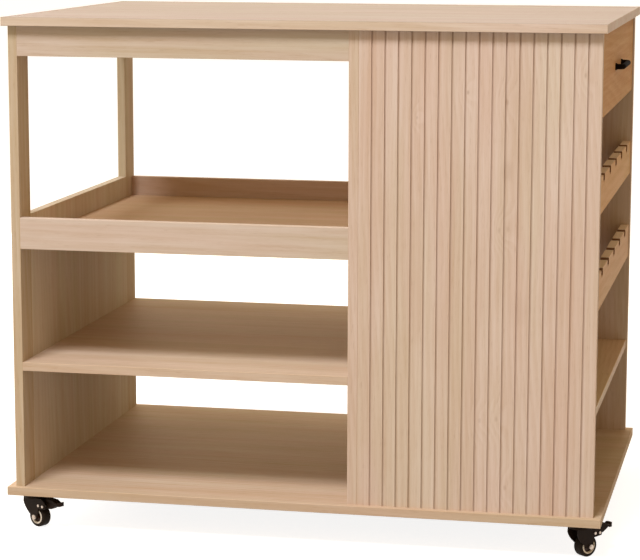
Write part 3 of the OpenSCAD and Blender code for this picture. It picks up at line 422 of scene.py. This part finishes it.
def hub(name, box):
    """A hub's material: a pale rim round a dark recess, partly its dark bearing cover and partly
    painted shade in the recess.
    """
    made = metal(name, HUB_NYLON, 0.45, metallic=0.0, uneven=0.08, scale=60.0, bump=0.1,
                 gloss=0.30)
    t = Tree(made.node_tree)
    base = made.node_tree.nodes["Principled BSDF"].inputs["Base Color"]
    rim = base.links[0].from_socket
    centre = tuple((lo + hi) / 2 for lo, hi in zip(*box))
    point = t.node("ShaderNodeTexCoord").outputs["Object"]
    reach = t.vec("LENGTH", t.vec("SUBTRACT", point, centre))
    t.plug(t.mix(t.span(reach, HUB_RECESS, HUB_RIM), HUB_CAP_AND_SHADE, rim), base)
    return made


def dress(node, material):
    slots = NODES[node].data.materials
    slots.clear()
    slots.append(material)


# Boards inside the cart and at its right end lean to tints of painted warm shade
BOARDS = {
    "worktop": Board("x", 1.0, -0.03, 1.0, PAINTED_TOP_SHADE),
    "base_board": Board("x", 2.3, 0.12, 1.0, SAND),
    "left_front_post": Board("z", 3.1, 0.42, 1.0, OLIVE),
    "left_rear_post": Board("z", 4.7, 0.33, 1.0, OLIVE),
    "left_side_panel": Board("z", 5.2, -0.04, 1.0, OLIVE),
    "left_top_rail": Board("y", 6.4, 0.05, 0.25),
    "front_apron": Board("x", 7.9, 0.20, 1.0, BEIGE),
    "rear_apron": Board("x", 8.2, 0.02, 0.25),
    "tray_front_rail": Board("x", 9.6, 0.10, 1.0, BEIGE),
    "tray_rear_rail": Board("x", 10.3, 0.34),
    "tray_floor": Board("x", 11.8, -0.06, 0.7),
    "left_shelf": Board("x", 12.5, 0.10, 1.0, SAND),
    "divider_panel": Board("z", 13.7, 0.24),
    "rear_panel": Board("z", 15.1, 0.04),
    "right_shelf": Board("y", 16.6, -0.28, 0.6),
    "upper_rack_outer": Board("y", 17.4, -0.16, 0.85, PAINTED_RUSSET_SHADE),
    "upper_rack_inner": Board("y", 18.9, 0.06, 0.7),
    "lower_rack_outer": Board("y", 19.2, -0.28, 0.6, PAINTED_RUSSET_SHADE),
    "lower_rack_inner": Board("y", 20.8, 0.06, 0.7),
    "drawer_front": Board("y", 21.3, 0.60, 0.9, PAINTED_RUSSET_SHADE),
    "drawer_front_side": Board("x", 22.6, 0.02),
    "drawer_rear_side": Board("x", 23.4, 0.04),
    "drawer_back": Board("y", 24.7, 0.03),
    "drawer_bottom": Board("y", 25.1, 0.0),
}
# Boards whose painted shade tint lies on their broad faces only, so their edges stay the wood's
# own colour
SHADE_ON_FACES_ONLY = ("worktop", "right_shelf")
NOTCH_DEPTH = 0.016
WORKTOP_GLOSS, BOARD_GLOSS = 0.16, 0.02
for name, board in BOARDS.items():
    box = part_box(name)
    notch = box[1][2] - NOTCH_DEPTH if name.endswith("rack_outer") else None
    gloss = WORKTOP_GLOSS if name == "worktop" else BOARD_GLOSS
    dress(name, wood("wood_" + name, board, box, gloss, shade_faces_only=name in SHADE_ON_FACES_ONLY, notch=notch))

# The fluted panel, with its knots at their places across the width and up the height
PANEL = "fluted_front_panel"
PANEL_WOOD, DOWEL_WOOD = Board("z", 14.4, 0.0), Board("x", 26.2, 0.05)
PANEL_KNOTS = (
    Knot(0.306, 0.835, 0.0032, 0.45), Knot(0.216, 0.789, 0.0026, 0.30),
    Knot(0.375, 0.819, 0.0045, 0.42), Knot(0.377, 0.699, 0.0140, 0.18),
    Knot(0.511, 0.868, 0.0035, 0.30), Knot(0.364, 0.593, 0.0040, 0.20),
    Knot(0.380, 0.596, 0.0045, 0.24), Knot(0.405, 0.455, 0.0220, 0.10),
    Knot(0.364, 0.253, 0.0040, 0.28), Knot(0.334, 0.249, 0.0040, 0.24),
    Knot(0.381, 0.128, 0.0040, 0.30),
)
dress(PANEL, wood("wood_fluted", PANEL_WOOD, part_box(PANEL), knots=PANEL_KNOTS, fluted=True))

ZINC = metal("zinc_plate", (0.62, 0.62, 0.60), 0.34)
PIN_ZINC = metal("pin_zinc", (0.60, 0.50, 0.42), 0.38)
CAST = metal("cast_zinc", (0.45, 0.45, 0.46), 0.48)
STEEL = metal("slide_plate", (0.60, 0.61, 0.62), 0.30)
HANDLE = metal("handle_black", (0.010, 0.006, 0.004), 0.72, metallic=0.0, uneven=0.10,
               scale=120.0, gloss=0.01)
BLACK = metal("black_coat", (0.017, 0.009, 0.005), 0.52, metallic=0.0, uneven=0.10,
              scale=120.0, bump=0.3, gloss=0.08)
RUBBER = metal("tyre_rubber", (0.018, 0.011, 0.006), 0.68, metallic=0.0, uneven=0.08,
               scale=160.0, bump=0.5, gloss=0.10)


def finish_of(name):
    """The material of a node that isn't a board."""
    if name.endswith(("_fork", "_brake")) or name == "caster_plates":
        return BLACK
    if name.endswith("_hub"):
        return hub("nylon_" + name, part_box(name))
    if name.endswith("_tyre"):
        return RUBBER
    if name.endswith("_pins"):
        return PIN_ZINC
    if name.startswith("slide_"):
        return STEEL
    if name == "drawer_handle":
        return HANDLE
    if name == "cam_locks":
        return CAST
    if name == "dowels":
        return wood("wood_dowels", DOWEL_WOOD)
    return ZINC


for name in NODES:
    if name not in BOARDS and name != PANEL:
        dress(name, finish_of(name))


# Floor and light
FLOOR_REACH = 40.0
FLOOR_GREY, FLOOR_GLOW = 0.50, 0.87
WORLD_LIGHT = (0.56, 0.405, 0.218)


def pale_floor():
    """The floor's material: it glows pale to the camera and gives the object no light by that."""
    made, t, shader = new_material("studio_floor")
    made.node_tree.nodes.remove(shader)
    diffuse = t.node("ShaderNodeBsdfDiffuse")
    diffuse.inputs["Color"].default_value = (FLOOR_GREY,) * 3 + OPAQUE
    glow = t.node("ShaderNodeEmission")
    glow.inputs["Color"].default_value = WHITE + OPAQUE
    t.plug(t.mul(t.seen(), FLOOR_GLOW), glow.inputs["Strength"])
    both = t.fill(t.node("ShaderNodeAddShader"), (diffuse.outputs[0], glow.outputs[0]))
    t.plug(both, made.node_tree.nodes["Material Output"].inputs["Surface"])
    return made


def studio():
    mesh = bpy.data.meshes.new("studio_floor")
    r = FLOOR_REACH
    mesh.from_pydata([(-r, -r, 0), (r, -r, 0), (r, r, 0), (-r, r, 0)], [], [(0, 1, 2, 3)])
    mesh.materials.append(pale_floor())
    floor = bpy.data.objects.new("studio_floor", mesh)
    SCENE.collection.objects.link(floor)
    world = bpy.data.worlds.new("studio")
    SCENE.world = world
    world.use_nodes = True
    t = Tree(world.node_tree)
    back = world.node_tree.nodes["Background"]
    t.plug(t.mix(t.seen(), WORLD_LIGHT, WHITE), back.inputs["Color"])


def lamp(name, place, aim, size, watts, color=WHITE, hidden=False):
    data = bpy.data.lights.new(name, "AREA")
    data.shape = "RECTANGLE"
    data.size, data.size_y = size
    data.energy = watts
    data.color = color
    made = bpy.data.objects.new(name, data)
    made.location = place
    made.rotation_euler = (Vector(aim) - Vector(place)).to_track_quat("-Z", "Y").to_euler()
    made.visible_camera = not hidden
    SCENE.collection.objects.link(made)


studio()
lamp("key", place=(-1.3, -5.15, 7.5), aim=(0.0, 0.0, 0.6), size=(3.0, 2.3), watts=632.0)
lamp("left", place=(-3.2, 0.3, 1.30), aim=(-0.2, 0.1, 0.75), size=(1.6, 1.2), watts=52.0,
     color=(1.0, 0.97, 0.93))
lamp("backdrop", place=(-0.9, 3.4, 0.98), aim=(-0.7, 0.0, 0.7), size=(3.4, 1.9), watts=70.0,
     color=(1.0, 0.81, 0.53), hidden=True)


# Camera: fitted to the photo's board edges. It looks at a point that lies BACK ahead, SIDE to
# the right and RISE up from it
FOCAL_PX, PHOTO_W, SENSOR_MM = 2295.35, 640.0, 36.0
AZIMUTH, PITCH, ROLL = math.radians(11.964), math.radians(9.181), math.radians(0.130)
AIM = Vector((0.0, 0.0, 0.519))
BACK, SIDE, RISE = 4.4838, 0.0353, 0.0841


def camera():
    data = bpy.data.cameras.new("camera")
    data.sensor_width = SENSOR_MM
    data.lens = FOCAL_PX / PHOTO_W * SENSOR_MM
    cam = bpy.data.objects.new("camera", data)
    SCENE.collection.objects.link(cam)
    SCENE.camera = cam
    ahead = Vector((-math.sin(AZIMUTH) * math.cos(PITCH), math.cos(AZIMUTH) * math.cos(PITCH),
                    -math.sin(PITCH)))
    level = Vector((math.cos(AZIMUTH), math.sin(AZIMUTH), 0.0))
    upright = level.cross(ahead)
    right = level * math.cos(ROLL) + upright * math.sin(ROLL)
    up = upright * math.cos(ROLL) - level * math.sin(ROLL)
    place = AIM - right * SIDE - up * RISE - ahead * BACK
    turn = Matrix((right, up, -ahead)).transposed()
    cam.matrix_world = Matrix.Translation(place) @ turn.to_4x4()


camera()
SCENE.view_settings.view_transform = "Standard"
